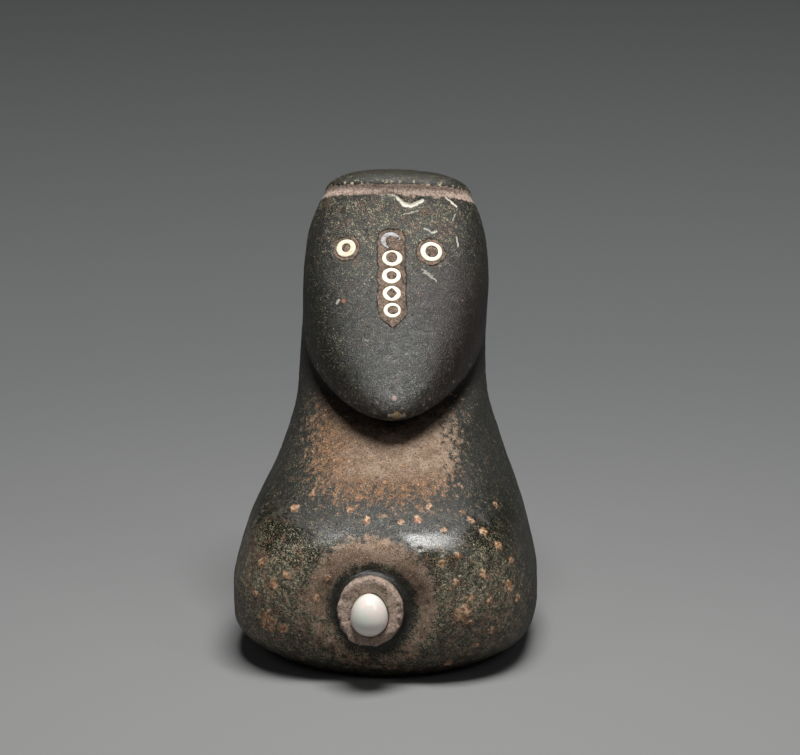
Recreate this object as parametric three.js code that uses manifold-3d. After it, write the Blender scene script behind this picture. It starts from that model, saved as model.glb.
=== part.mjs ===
// A stone pelican effigy with shell-bead inlay and a pearl set in a boss.
// Millimetres, +Z up, front towards -Y. The origin is the middle of the flat underside.
import * as THREE from "three";
import { ParametricGeometry } from "three/addons/geometries/ParametricGeometry.js";
import { mergeVertices } from "three/addons/utils/BufferGeometryUtils.js";
import Module from "manifold-3d";

const wasm = await Module();
wasm.setup();

// Clearance between an inlay and its seat.
const GAP = 0.3;

// The stone is lofted through flat rings, from the lip of the cap to the edge of the foot. A ring spans
// from its front point to its back point, both [y, z], and is widest at y = widest, where it reaches
// half to each side. square is 2 for a plain oval front and more for a boxier one.
const RINGS = [
  { name: "cap lip", front: [15.4, 101.2], back: [41.4, 89.4], widest: 27.5, half: 16.9, square: 2.8 },
  { name: "head edge", front: [15.2, 98.9], back: [41.6, 87.2], widest: 26.5, half: 17.9, square: 2.8 },
  { name: "forehead", front: [13.6, 95.6], back: [42.2, 86.0], widest: 25, half: 19, square: 2.8 },
  { name: "brow", front: [9.4, 89.4], back: [42.6, 84.8], widest: 22.6, half: 20.3, square: 2.7 },
  { name: "cheek", front: [-2.8, 75.8], back: [42.6, 82.6], widest: 17.6, half: 21.2, square: 2.3 },
  { name: "low bill", front: [-15.6, 63], back: [42.2, 81.2], widest: 16.2, half: 21, square: 1.8 },
  { name: "bill margin", front: [-18.6, 59.2], back: [42.1, 80.7], widest: 16, half: 21, square: 1.7 },
  { name: "bill tip", front: [-19.2, 57], back: [42, 80.1], widest: 15.9, half: 21, square: 1.7 },
  { name: "bill underside", front: [-17.6, 55.3], back: [41.9, 79.4], widest: 15.8, half: 20.95, square: 1.7 },
  { name: "throat roof", front: [-12, 56.6], back: [41.7, 78.2], widest: 15.6, half: 21, square: 1.8 },
  { name: "throat", front: [-9.6, 55], back: [41.4, 75.6], widest: 15.2, half: 21.1, square: 1.9 },
  { name: "upper chest", front: [-16.2, 49.8], back: [40.4, 65.6], widest: 12.2, half: 21.3, square: 2.1 },
  { name: "chest", front: [-21.2, 44.7], back: [39.6, 57.4], widest: 9, half: 22.1, square: 2.3 },
  { name: "ledge", front: [-29.8, 36.2], back: [38.8, 42.2], widest: 2.4, half: 26.3, square: 2.9 },
  { name: "ridge", front: [-33.2, 33.4], back: [38.8, 35.4], widest: -0.4, half: 28.7, square: 3.1 },
  { name: "belly top", front: [-36, 30.2], back: [38.9, 28.8], widest: -2.8, half: 30.8, square: 3.2 },
  { name: "belly", front: [-38.4, 18], back: [38.8, 15.6], widest: -4.6, half: 33.9, square: 3.2 },
  { name: "low belly", front: [-37.4, 9.4], back: [37.2, 8.2], widest: -4.4, half: 34, square: 3 },
  { name: "foot", front: [-34.4, 3.4], back: [33.6, 3], widest: -3, half: 32, square: 2.3 },
  { name: "foot edge", front: [-30.8, 0], back: [30, 0], widest: -1.5, half: 27.2, square: 2.1 },
];
const BACK_SQUARE = 2.4;
const COLUMNS = 60;
const STRIP = 5;

// The domed cap above its lip, and the groove between the lip and the head.
const CAP = { rise: 5.5, round: 2.1, rows: 5 };
const GROOVE = { depth: 1.3, wall: 0.2 };

// The carving isn't quite true: it leans to one side above the belly, the head rolls a little, and the
// body is turned to the other side under it.
const LEAN = { by: 2.2, from: 24, to: 76 };
const ROLL = { degrees: 1.8, from: 50, to: 80, about: 75 };
const TWIST = { degrees: 5.5, from: 28, to: 62, about: -6.5 };

// The boss on the belly: a short drum, a little taller than wide, turned to one side and tipped up, in a
// hollow that is tipped up less. The pearl is an egg that stands in a cup in the drum, its point up.
const BOSS = { x: -3.2, z: 18.1, turn: 5.5, tip: 10, root: 7.9, face: 7.3, tall: 1.06, height: 3.1, sunk: 9 };
const BOSS_EDGE = 0.9;
const BOSS_SIDES = 36;
const MOAT = { tip: 2, floor: 9.2, outer: 15.5, depth: 2.6, rim: 0.9, steps: 5 };
const CUP = { mouth: 6.3, dish: 0.5, drop: 1, sunk: 0.3 };
const PEARL = { radius: 4.3, above: 5.4, below: 4.3, narrow: 0.1, sides: 20, rows: 10 };

// The beads: where the middle of each lies on the face, how wide and how high it is, and its hole.
const BEADS = {
  eye_bead_left: { x: -8.9, z: 88, wide: 4.5, high: 4.4, hole: 0.48 },
  eye_bead_right: { x: 10.3, z: 87.4, wide: 5, high: 4.8, hole: 0.56 },
  bill_bead_1: { x: 1.1, z: 89.7, wide: 4.5, high: 4.1, hole: 0.5 },
  bill_bead_2: { x: 1.5, z: 86.3, wide: 4.6, high: 4, hole: 0.62 },
  bill_bead_3: { x: 1.3, z: 83, wide: 4.3, high: 4, hole: 0.52 },
  bill_bead_4: { x: 1.4, z: 79.7, wide: 4.1, high: 3.9, hole: 0.52 },
  bill_bead_5: { x: 1.5, z: 76.6, wide: 3.9, high: 3.8, hole: 0.56 },
};
const BEAD = { thick: 1.2, proud: 0.15, edge: 0.25, sides: 16, roomSides: 10 };

// The beds of mastic: a round one under each eye, and a long one with a pointed foot down the bill.
const BED_DEPTH = 2.4;
const EYE_BED = { margin: 0.95, sides: 24 };
const BILL_BED = { x: 1.4, z: 83.1, half: 3.35, top: 11.6, bottom: 10.4, point: 13, arc: 5 };
const ABOVE = 6;

const STONE = new THREE.MeshStandardMaterial({ color: 0x3a3a31, roughness: 0.45, metalness: 0 });
const SHELL = new THREE.MeshStandardMaterial({ color: 0xe4dccb, roughness: 0.4, metalness: 0 });
const WORN_SHELL = new THREE.MeshStandardMaterial({ color: 0xa59c92, roughness: 0.6, metalness: 0 });
const MASTIC = new THREE.MeshStandardMaterial({ color: 0x5a483b, roughness: 0.9, metalness: 0 });
const NACRE = new THREE.MeshStandardMaterial({ color: 0xd8d5ca, roughness: 0.2, metalness: 0 });

const UP = new THREE.Vector3(0, 0, 1);

// Curves through the rings' front points, back points and shapes.
const [FRONT, BACK, SHAPE] = [
  (ring) => [0, ...ring.front],
  (ring) => [0, ...ring.back],
  (ring) => [ring.widest, ring.half, ring.square],
].map((pick) => new THREE.CatmullRomCurve3(RINGS.map((ring) => new THREE.Vector3(...pick(ring)))));

// The ring at a place along the rails: 0 is the first ring, 1 the second, and so on.
function ringAt(place) {
  const [front, back, shape] = [FRONT, BACK, SHAPE].map((rail) => rail.getPoint(place / (RINGS.length - 1)));
  const share = (shape.x - front.y) / (back.y - front.y);
  const middle = front.clone().lerp(back, share);
  return { front, back, middle, half: shape.y, square: shape.z };
}

// A ring drawn in towards its middle and lifted square to its own plane.
function drawnIn(ring, scale, lift = 0) {
  const along = ring.back.clone().sub(ring.front).normalize();
  const rise = new THREE.Vector3(0, -along.z, along.y).multiplyScalar(lift);
  const [front, back] = [ring.front, ring.back].map((end) => ring.middle.clone().lerp(end, scale).add(rise));
  return { front, back, middle: ring.middle.clone().add(rise), half: ring.half * scale, square: ring.square };
}

// A ring of the cap's dome, from 0 in the middle of the crown to 1 at the lip.
function capRing(share) {
  const scale = Math.sin((Math.PI / 2) * share);
  const rise = CAP.rise * (1 - scale ** CAP.round) ** (1 / CAP.round);
  return drawnIn(ringAt(0), scale, rise);
}

// A ring on the floor of the groove, which is cut straight in.
function grooveRing(place) {
  const ring = ringAt(place);
  return drawnIn(ring, 1 - GROOVE.depth / ring.half);
}

// How many strips of faces lead from one ring to the next.
function stripsAfter(index) {
  const reach = (ring) => [new THREE.Vector3(0, ...ring.front), new THREE.Vector3(0, ...ring.back)];
  const [front, back] = reach(RINGS[index]);
  const [nextFront, nextBack] = reach(RINGS[index + 1]);
  const step = Math.max(front.distanceTo(nextFront), back.distanceTo(nextBack));
  return Math.max(1, Math.round(step / STRIP));
}

// Every ring of faces from the crown to the middle of the underside.
function stoneRows() {
  const rows = [];
  for (let k = 0; k < CAP.rows; k++) rows.push(capRing(k / CAP.rows));
  rows.push(ringAt(0), grooveRing(GROOVE.wall), grooveRing(1 - GROOVE.wall));
  for (let index = 1; index < RINGS.length - 1; index++) {
    const strips = stripsAfter(index);
    for (let k = 0; k < strips; k++) rows.push(ringAt(index + k / strips));
  }
  const foot = ringAt(RINGS.length - 1);
  rows.push(foot, drawnIn(foot, 0));
  return rows;
}

// How far a change that fades in between two heights has come, from 0 to 1.
function faded(z, { from, to }) {
  return THREE.MathUtils.smoothstep(z, from, to);
}

// The lean of the figure, the roll of its head and the turn of its body.
function sway(point) {
  const { x, z } = point;
  const roll = THREE.MathUtils.degToRad(ROLL.degrees) * faded(z, ROLL);
  const twist = THREE.MathUtils.degToRad(TWIST.degrees) * (1 - faded(z, TWIST));
  point.x += LEAN.by * faded(z, LEAN) + roll * (z - ROLL.about);
  point.z -= roll * x;
  point.y -= TWIST.about;
  point.applyAxisAngle(UP, -twist);
  point.y += TWIST.about;
}

// A point of a ring. turn goes round once, from the right by the front.
function ringPoint(ring, turn, target) {
  const cos = Math.cos(2 * Math.PI * turn);
  const sin = -Math.sin(2 * Math.PI * turn);
  const square = sin < 0 ? ring.square : BACK_SQUARE;
  const reach = (Math.abs(cos) ** square + Math.abs(sin) ** square) ** (-1 / square);
  target.copy(ring.middle).lerp(sin < 0 ? ring.front : ring.back, reach * Math.abs(sin));
  target.x = ring.half * reach * cos;
  sway(target);
}

// The stone before anything is cut or joined.
function blankStone() {
  const rows = stoneRows();
  const last = rows.length - 1;
  const surface = (turn, down, target) => ringPoint(rows[Math.round(down * last)], turn, target);
  return new ParametricGeometry(surface, COLUMNS, last);
}

// A geometry as a solid. Faces that shrank to nothing at a pole are dropped.
function solidOf(geometry) {
  const bare = geometry.clone();
  bare.deleteAttribute("normal");
  bare.deleteAttribute("uv");
  const merged = mergeVertices(bare, 1e-3);
  const corners = merged.index.array;
  const kept = [];
  for (let i = 0; i < corners.length; i += 3) {
    const [a, b, c] = corners.slice(i, i + 3);
    if (a !== b && b !== c && c !== a) kept.push(a, b, c);
  }
  const vertProperties = merged.attributes.position.array;
  return new wasm.Manifold(new wasm.Mesh({ numProp: 3, vertProperties, triVerts: Uint32Array.from(kept) }));
}

// A solid as a named mesh.
function meshOf(name, solid, material) {
  const { vertProperties, triVerts } = solid.getMesh();
  const geometry = new THREE.BufferGeometry();
  geometry.setAttribute("position", new THREE.BufferAttribute(vertProperties, 3));
  geometry.setIndex(new THREE.BufferAttribute(triVerts, 1));
  geometry.computeVertexNormals();
  const mesh = new THREE.Mesh(geometry, material);
  mesh.name = name;
  return mesh;
}

// A turned shape about +Z from its profile of [radius, height] points, set into a frame.
function turned(profile, sides, frame) {
  const points = profile.map(([radius, height]) => new THREE.Vector2(radius, height));
  return solidOf(new THREE.LatheGeometry(points, sides).rotateX(Math.PI / 2).applyMatrix4(frame));
}

const BLANK = new THREE.Mesh(blankStone(), new THREE.MeshBasicMaterial({ side: THREE.DoubleSide }));

// The point of the blank straight behind x and z as seen from the front.
function frontPoint(x, z) {
  const caster = new THREE.Raycaster(new THREE.Vector3(x, -100, z), new THREE.Vector3(0, 1, 0));
  return caster.intersectObject(BLANK)[0].point;
}

// A frame on the blank's front, with X across it, Y up it and Z out of it.
function seatAt(x, z) {
  const span = 2;
  const across = frontPoint(x + span, z).sub(frontPoint(x - span, z)).normalize();
  const up = frontPoint(x, z + span).sub(frontPoint(x, z - span));
  const out = across.clone().cross(up).normalize();
  return new THREE.Matrix4().makeBasis(across, out.clone().cross(across), out).setPosition(frontPoint(x, z));
}

// A frame on the belly, tipped up from straight ahead, with Z out of the stone.
function bellyFrame(tip) {
  const lie = new THREE.Euler(
    THREE.MathUtils.degToRad(90 - tip),
    0,
    THREE.MathUtils.degToRad(-BOSS.turn),
    "ZXY",
  );
  const frame = new THREE.Matrix4().makeRotationFromEuler(lie).setPosition(frontPoint(BOSS.x, BOSS.z));
  return frame.scale(new THREE.Vector3(1, BOSS.tall, 1));
}

// What the moat takes away: a dish with a flat floor under the boss and sides that ease out.
function moatCut(frame) {
  const profile = [[0, -MOAT.depth], [MOAT.floor, -MOAT.depth]];
  for (let k = 1; k <= MOAT.steps; k++) {
    const share = k / MOAT.steps;
    profile.push([
      THREE.MathUtils.lerp(MOAT.floor, MOAT.outer, share),
      THREE.MathUtils.lerp(-MOAT.depth, -MOAT.rim, THREE.MathUtils.smoothstep(share, 0, 1)),
    ]);
  }
  profile.push([MOAT.outer, ABOVE], [0, ABOVE]);
  return turned(profile, BOSS_SIDES, frame);
}

// The drum of the boss, with a rounded rim.
function bossDrum(frame) {
  const soft = BOSS_EDGE * 0.3;
  const profile = [
    [0, -BOSS.sunk],
    [BOSS.root, -BOSS.sunk],
    [BOSS.root, -MOAT.depth],
    [BOSS.face, BOSS.height - BOSS_EDGE],
    [BOSS.face - soft, BOSS.height - soft],
    [BOSS.face - BOSS_EDGE, BOSS.height],
    [0, BOSS.height],
  ];
  return turned(profile, BOSS_SIDES, frame);
}

// The pearl, or the room for it when it is grown by the clearance: an upright egg, narrowing to the top.
function pearl(frame, grow = 0) {
  const profile = [];
  for (let k = 0; k <= PEARL.rows; k++) {
    const share = k / PEARL.rows;
    const angle = Math.PI * share;
    const atPole = k === 0 || k === PEARL.rows;
    const radius = (PEARL.radius * (1 - PEARL.narrow * share ** 2) + grow) * Math.sin(angle);
    const reach = (share < 0.5 ? PEARL.below : PEARL.above) + grow;
    profile.push([atPole ? 0 : radius, -reach * Math.cos(angle)]);
  }
  const middle = new THREE.Vector3(0, -CUP.drop, BOSS.height - CUP.sunk).applyMatrix4(frame);
  return turned(profile, PEARL.sides, new THREE.Matrix4().setPosition(middle));
}

// What the cup takes away: the pearl's room, and a shallow dish round its mouth.
function cupCut(frame) {
  const profile = [
    [0, BOSS.height - CUP.dish],
    [PEARL.radius, BOSS.height - CUP.dish],
    [CUP.mouth, BOSS.height],
    [CUP.mouth, ABOVE],
    [0, ABOVE],
  ];
  return pearl(frame, GAP).add(turned(profile, BOSS_SIDES, frame));
}

// A bead's frame, stretched to its width and height, so that its radius is 1.
function beadFrame(bead, grow = 0) {
  const size = new THREE.Vector3(bead.wide / 2 + grow, bead.high / 2 + grow, 1);
  return seatAt(bead.x, bead.z).scale(size);
}

// A flat ring bead with softened edges.
function beadRing(bead) {
  const edge = BEAD.edge;
  const soft = edge / (bead.wide / 2);
  const top = BEAD.proud;
  const bottom = top - BEAD.thick;
  const profile = [
    [bead.hole, bottom],
    [1, bottom],
    [1, top - edge],
    [1 - soft, top],
    [bead.hole + soft, top],
    [bead.hole, top - edge],
    [bead.hole, bottom],
  ];
  return turned(profile, BEAD.sides, beadFrame(bead));
}

// The room that a bead takes up in its bed, with the clearance round it and in its hole.
function beadRoom(bead) {
  const bottom = BEAD.proud - BEAD.thick - GAP;
  const pin = (bead.hole * bead.wide) / 2 - GAP;
  const inner = pin / (bead.wide / 2 + GAP);
  const profile = [[inner, bottom], [1, bottom], [1, ABOVE], [inner, ABOVE], [inner, bottom]];
  return turned(profile, BEAD.roomSides, beadFrame(bead, GAP));
}

// The round pocket for an eye, or its filling when inset is the clearance.
function eyePocket(bead, inset) {
  const radius = bead.wide / 2 + EYE_BED.margin - inset;
  const bottom = inset - BED_DEPTH;
  const profile = [[0, bottom], [radius, bottom], [radius, ABOVE], [0, ABOVE]];
  return turned(profile, EYE_BED.sides, seatAt(bead.x, bead.z));
}

// The pocket down the bill, round at the top and pointed at the foot, or its filling.
function billPocket(inset) {
  const half = BILL_BED.half - inset;
  const shoulder = BILL_BED.top - BILL_BED.half;
  const outline = new THREE.Shape();
  outline.moveTo(0, -BILL_BED.point + inset * 1.5);
  outline.lineTo(half, -BILL_BED.bottom + inset * 0.5);
  outline.absarc(0, shoulder, half, 0, Math.PI);
  outline.lineTo(-half, -BILL_BED.bottom + inset * 0.5);
  outline.closePath();
  const depth = BED_DEPTH - inset + ABOVE;
  const prism = new THREE.ExtrudeGeometry(outline, { depth, bevelEnabled: false, curveSegments: BILL_BED.arc });
  prism.translate(0, 0, inset - BED_DEPTH);
  return solidOf(prism.applyMatrix4(seatAt(BILL_BED.x, BILL_BED.z)));
}

// A bed of mastic: its pocket's filling, level with the stone less the clearance, and cut for its beads.
function bed(filling, seat, beads) {
  const out = new THREE.Vector3().setFromMatrixColumn(seat, 2).multiplyScalar(-GAP);
  const level = solidOf(BLANK.geometry).translate(out.toArray());
  return beads.reduce((left, bead) => left.subtract(beadRoom(bead)), filling.intersect(level));
}

// The finished stone: blank, moat, boss, cup and pockets.
function stoneBody(frame) {
  const joined = solidOf(BLANK.geometry).subtract(moatCut(bellyFrame(MOAT.tip))).add(bossDrum(frame));
  const pockets = [billPocket(0), eyePocket(BEADS.eye_bead_left, 0), eyePocket(BEADS.eye_bead_right, 0)];
  return pockets.reduce((left, pocket) => left.subtract(pocket), joined.subtract(cupCut(frame)));
}

function effigy() {
  const group = new THREE.Group();
  const frame = bellyFrame(BOSS.tip);
  group.add(meshOf("stone_body", stoneBody(frame), STONE));
  group.add(meshOf("pearl", pearl(frame), NACRE));
  for (const [name, bead] of Object.entries(BEADS)) {
    group.add(meshOf(name, beadRing(bead), name === "bill_bead_1" ? WORN_SHELL : SHELL));
  }
  for (const side of ["left", "right"]) {
    const bead = BEADS[`eye_bead_${side}`];
    const filling = eyePocket(bead, GAP);
    group.add(meshOf(`eye_mastic_${side}`, bed(filling, seatAt(bead.x, bead.z), [bead]), MASTIC));
  }
  const billBeads = Object.entries(BEADS).filter(([name]) => name.startsWith("bill")).map(([, bead]) => bead);
  const billSeat = seatAt(BILL_BED.x, BILL_BED.z);
  group.add(meshOf("bill_channel_mastic", bed(billPocket(GAP), billSeat, billBeads), MASTIC));
  return group;
}

export default effigy();
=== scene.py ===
# The looks of the stone pelican effigy: carved stone, shell beads set in mastic, and a pearl in a boss.
# Shapes are worked out in millimetres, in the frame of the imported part, and turned into metres at the end.
import math
from functools import partial

import bpy
import numpy as np
import openvdb
from mathutils import Euler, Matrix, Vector, kdtree


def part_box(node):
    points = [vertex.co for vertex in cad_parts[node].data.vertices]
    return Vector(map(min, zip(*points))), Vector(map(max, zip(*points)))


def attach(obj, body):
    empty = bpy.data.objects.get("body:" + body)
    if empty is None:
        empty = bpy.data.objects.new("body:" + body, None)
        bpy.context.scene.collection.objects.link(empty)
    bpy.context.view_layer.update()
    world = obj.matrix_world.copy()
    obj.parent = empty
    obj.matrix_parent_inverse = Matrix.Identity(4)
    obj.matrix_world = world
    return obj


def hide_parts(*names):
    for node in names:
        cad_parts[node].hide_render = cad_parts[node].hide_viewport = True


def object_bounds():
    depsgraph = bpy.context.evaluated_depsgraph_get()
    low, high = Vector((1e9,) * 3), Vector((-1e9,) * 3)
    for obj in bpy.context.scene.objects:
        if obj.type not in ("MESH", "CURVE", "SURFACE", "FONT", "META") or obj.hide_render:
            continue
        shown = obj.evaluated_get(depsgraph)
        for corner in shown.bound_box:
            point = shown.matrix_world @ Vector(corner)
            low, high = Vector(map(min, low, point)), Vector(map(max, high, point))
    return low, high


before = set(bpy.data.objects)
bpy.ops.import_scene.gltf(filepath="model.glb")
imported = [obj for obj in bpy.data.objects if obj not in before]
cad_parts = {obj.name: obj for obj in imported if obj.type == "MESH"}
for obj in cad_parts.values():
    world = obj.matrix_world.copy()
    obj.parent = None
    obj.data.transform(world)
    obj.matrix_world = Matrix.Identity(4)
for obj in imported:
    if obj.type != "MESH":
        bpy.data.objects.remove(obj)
cad_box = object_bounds()

MM = 0.001
SEED = 7

# Further than any two points of the figure are apart, in mm
FAR = 1e3

# The stone is lofted through flat rings, from the lip of the cap to the edge of the foot: the front point
# and the back point as y and z, the y of the widest place, half the reach to each side, and the boxiness
# of the front. Then, for the front there, how much pinkish-brown wear lies on it, how well it is polished
# and how thick its felt of pale needles is.
RING_KEYS = ("name", "front", "back", "widest", "half", "square", "wash", "shine", "fleck")
RINGS = [
    dict(zip(RING_KEYS, ring))
    for ring in [
        ("cap lip", (15.4, 101.2), (41.4, 89.4), 27.5, 16.9, 2.8, 0.05, 0.5, 0.35),
        ("head edge", (15.2, 98.9), (41.6, 87.2), 26.5, 17.9, 2.8, 0.1, 0.5, 0.45),
        ("forehead", (13.6, 95.6), (42.2, 86), 25, 19, 2.8, 0.12, 0.5, 0.6),
        ("brow", (9.4, 89.4), (42.6, 84.8), 22.6, 20.3, 2.7, 0.1, 0.5, 0.55),
        ("cheek", (-2.8, 75.8), (42.6, 82.6), 17.6, 21.2, 2.3, 0.0, 0.55, 0.3),
        ("low bill", (-15.6, 63), (42.2, 81.2), 16.2, 21, 1.85, 0.02, 0.7, 0.2),
        ("bill margin", (-18.6, 59.2), (42.1, 80.7), 16, 21, 1.72, 0.05, 0.8, 0.22),
        ("bill tip", (-19.2, 57), (42, 80.1), 15.9, 21, 1.72, 0.2, 0.5, 0.25),
        ("underside", (-17.6, 55.3), (41.9, 79.4), 15.8, 20.95, 1.7, 0.4, 0.2, 0.3),
        ("throat roof", (-11.4, 56.4), (41.7, 78.2), 15.6, 20.95, 1.68, 0.45, 0.1, 0.3),
        ("throat", (-8.8, 54.8), (41.4, 75.6), 15.2, 21.05, 1.72, 0.5, 0.1, 0.3),
        ("upper chest", (-16.2, 49.8), (40.4, 65.6), 12.2, 21.3, 2.1, 0.8, 0.15, 0.4),
        ("chest", (-21.2, 44.7), (39.6, 57.4), 9, 22.1, 2.3, 0.9, 0.2, 0.4),
        ("ledge", (-29.8, 36.2), (38.8, 42.2), 2.4, 26.3, 2.9, 0.12, 0.6, 0.35),
        ("ridge", (-33.2, 33.4), (38.8, 35.4), -0.4, 28.7, 3.1, 0.0, 0.95, 0.4),
        ("belly top", (-36, 30.2), (38.9, 28.8), -2.8, 30.8, 3.2, 0.12, 1, 0.6),
        ("belly", (-38.4, 18), (38.8, 15.6), -4.6, 33.9, 3.2, 0.3, 0.45, 0.8),
        ("low belly", (-37.4, 9.4), (37.2, 8.2), -4.4, 34, 3, 0.25, 0.4, 0.7),
        ("foot", (-34.4, 3.4), (33.6, 3), -3, 32, 2.3, 0.2, 0.4, 0.5),
        ("foot edge", (-30.8, 0), (30, 0), -1.5, 27.2, 2.1, 0.2, 0.3, 0.4),
    ]
]
PLACE = {ring["name"]: index for index, ring in enumerate(RINGS)}
BACK_SQUARE = 2.4
CREST = 0.03
CAP = {"rise": 5.5, "round": 2.1, "rows": 26}
GROOVE = {"depth": 0.6, "from": 0.02, "to": 0.97, "wall": 0.14}
COLUMNS = 240
ROWS_A_RING = 12

# The lean of the figure, the roll of its head and the turn of its body.
LEAN = {"by": 2.2, "from": 24, "to": 76}
ROLL = {"angle": math.radians(1.8), "from": 50, "to": 80, "about": 75}
TWIST = {"angle": math.radians(5.5), "from": 28, "to": 62, "about": -6.5}

# The field that the stone is carved in, and how far from its surface it reaches.
VOXEL = 0.42
BAND = 7
MARGIN = 2.5

# The boss, tipped up further than the hollow round it, and the egg-shaped pearl in its cup.
BOSS = {"turn": 5.5, "tip": 10, "root": 7.9, "face": 7.3, "tall": 1.06, "height": 3.1, "edge": 0.8}
MOAT = {"tip": 2, "floor": 8.6, "outer": 15.5, "depth": 2.6, "rim": 0.9, "blend": 2.2}
CUP = {"mouth": 6.3, "dish": 0.55, "drop": 1, "sunk": 0.3}
PEARL = {"radius": 4.3, "above": 5.4, "below": 4.3, "narrow": 0.1}
PEARL_GAP = 0.03
CRUMBLE = {"rim": 0.55, "face": 0.14, "size": 1.1}

# The beds of mastic: how far a pocket reaches past an eye bead and how deep it is, the rise of the channel's
# pointed foot, the grid of its field, how much its edge wanders, and how far the filling spreads over that
# edge and stands above the stone.
EYE_MARGIN = 0.65
BED = {"depth": 2.4, "shoulder": 2.6, "voxel": 0.18, "wobble": 0.5, "spread": 0.12, "level": 0.04}

STONE_TRIANGLES = 190000


def fade(value, low, high):
    """0 at low, 1 at high and smooth between, also where low is above high."""
    share = np.clip((value - low) / (high - low), 0, 1)
    return share * share * (3 - 2 * share)


def smooth_min(a, b, width):
    share = np.clip(0.5 + 0.5 * (b - a) / width, 0, 1)
    return b + (a - b) * share - width * share * (1 - share)


def smooth_max(a, b, width):
    return -smooth_min(-a, -b, width)


LATTICE = 32
LATTICES = {}


def noise(points, size, seed, octaves=1):
    """Smooth noise from -1 to 1 at points in mm, with features about size apart."""
    if seed not in LATTICES:
        random = np.random.default_rng(SEED * 100 + seed)
        LATTICES[seed] = random.uniform(-1, 1, (LATTICE,) * 3).astype(np.float32)
    lattice = LATTICES[seed]
    total = np.zeros(len(points), np.float32)
    reach = 0
    for octave in range(octaves):
        place = points / size * 2**octave + 11.3 * octave
        low = np.floor(place).astype(int)
        share = (place - low).astype(np.float32)
        share = share * share * (3 - 2 * share)
        value = np.zeros(len(points), np.float32)
        for corner in np.ndindex(2, 2, 2):
            weight = np.prod(np.where(corner, share, 1 - share), axis=1)
            index = (low + corner) % LATTICE
            value += weight * lattice[index[:, 0], index[:, 1], index[:, 2]]
        total += value / 2**octave
        reach += 1 / 2**octave
    return total / reach


# The loft

def rail(points, places):
    """Points of the centripetal Catmull-Rom curve through the points, at places 0, 1, 2, ... along it."""
    points = np.array(points, float)
    points = np.vstack([2 * points[0] - points[1], points, 2 * points[-1] - points[-2]])
    index = np.minimum(places.astype(int), len(points) - 4)
    share = (places - index)[:, None]
    p0, p1, p2, p3 = (points[index + k] for k in range(4))
    d0, d1, d2 = (np.linalg.norm(b - a, axis=1)[:, None] ** 0.5 for a, b in ((p0, p1), (p1, p2), (p2, p3)))
    t1 = ((p1 - p0) / d0 - (p2 - p0) / (d0 + d1) + (p2 - p1) / d1) * d1
    t2 = ((p2 - p1) / d1 - (p3 - p1) / (d1 + d2) + (p3 - p2) / d2) * d1
    third = 2 * p1 - 2 * p2 + t1 + t2
    second = 3 * p2 - 3 * p1 - 2 * t1 - t2
    return p1 + share * (t1 + share * (second + share * third))


def rings_at(places):
    """Front, middle and back points, half widths and boxiness of the rings at places along the rails."""
    front = rail([(0, *ring["front"]) for ring in RINGS], places)
    back = rail([(0, *ring["back"]) for ring in RINGS], places)
    shape = rail([(ring["widest"], ring["half"], ring["square"]) for ring in RINGS], places)
    share = (shape[:, 0] - front[:, 1]) / (back[:, 1] - front[:, 1])
    middle = front + (back - front) * share[:, None]
    return front, middle, back, shape[:, 1], shape[:, 2]


def drawn_in(rings, scale, lift):
    """Rings drawn in towards their middles and lifted square to their own planes."""
    front, middle, back, half, square = rings
    along = (back - front) / np.linalg.norm(back - front, axis=1)[:, None]
    rise = np.stack([np.zeros(len(along)), -along[:, 2], along[:, 1]], axis=1) * lift[:, None]
    scale = scale[:, None]
    return (
        middle + (front - middle) * scale + rise,
        middle + rise,
        middle + (back - middle) * scale + rise,
        half * scale[:, 0],
        square,
    )


def sway(points):
    """The lean, the roll of the head and the turn of the body."""
    x, y, z = points.T
    roll = ROLL["angle"] * fade(z, ROLL["from"], ROLL["to"])
    twist = -TWIST["angle"] * (1 - fade(z, TWIST["from"], TWIST["to"]))
    across = x + LEAN["by"] * fade(z, LEAN["from"], LEAN["to"]) + roll * (z - ROLL["about"])
    deep = y - TWIST["about"]
    return np.stack([
        across * np.cos(twist) - deep * np.sin(twist),
        across * np.sin(twist) + deep * np.cos(twist) + TWIST["about"],
        z - roll * x,
    ], axis=1)


def ring_points(rings):
    """A row of points round each ring, from the right by the front."""
    front, middle, back, half, square = rings
    turn = np.linspace(0, 1, COLUMNS, endpoint=False)
    cos = np.cos(2 * np.pi * turn)[None, :]
    sin = -np.sin(2 * np.pi * turn)[None, :]
    square = np.where(sin < 0, square[:, None], BACK_SQUARE)
    reach = ((cos**2 + CREST) ** (square / 2) + (sin**2 + CREST) ** (square / 2)) ** (-1 / square)
    reach = reach * (CREST ** (square / 2) + (1 + CREST) ** (square / 2)) ** (1 / square)
    end = np.where((sin < 0)[..., None], front[:, None, :], back[:, None, :])
    points = middle[:, None, :] + (end - middle[:, None, :]) * (reach * np.abs(sin))[..., None]
    points[..., 0] = half[:, None] * reach * cos
    return sway(points.reshape(-1, 3)), np.broadcast_to(turn, cos.shape).repeat(len(half), axis=0).ravel()


def loft_rows():
    """The rings of the blank from the crown down, and the place of each along the rails."""
    share = np.linspace(0.5 / CAP["rows"], 1, CAP["rows"])
    scale = np.sin(np.pi / 2 * share)
    rise = CAP["rise"] * (1 - scale ** CAP["round"]) ** (1 / CAP["round"])
    dome = drawn_in(rings_at(np.zeros(CAP["rows"])), scale, rise)
    places = np.linspace(0, len(RINGS) - 1, (len(RINGS) - 1) * ROWS_A_RING + 1)[1:]
    down = rings_at(places)
    cut = fade(places, GROOVE["from"], GROOVE["from"] + GROOVE["wall"])
    cut = cut * np.clip((GROOVE["to"] - places) / GROOVE["to"], 0, 1) ** 0.6
    body = drawn_in(down, 1 - cut * GROOVE["depth"] / down[3], np.zeros(len(places)))
    rows = tuple(np.concatenate(pair) for pair in zip(dome, body))
    return rows, np.concatenate([share - 1, places])


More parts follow.
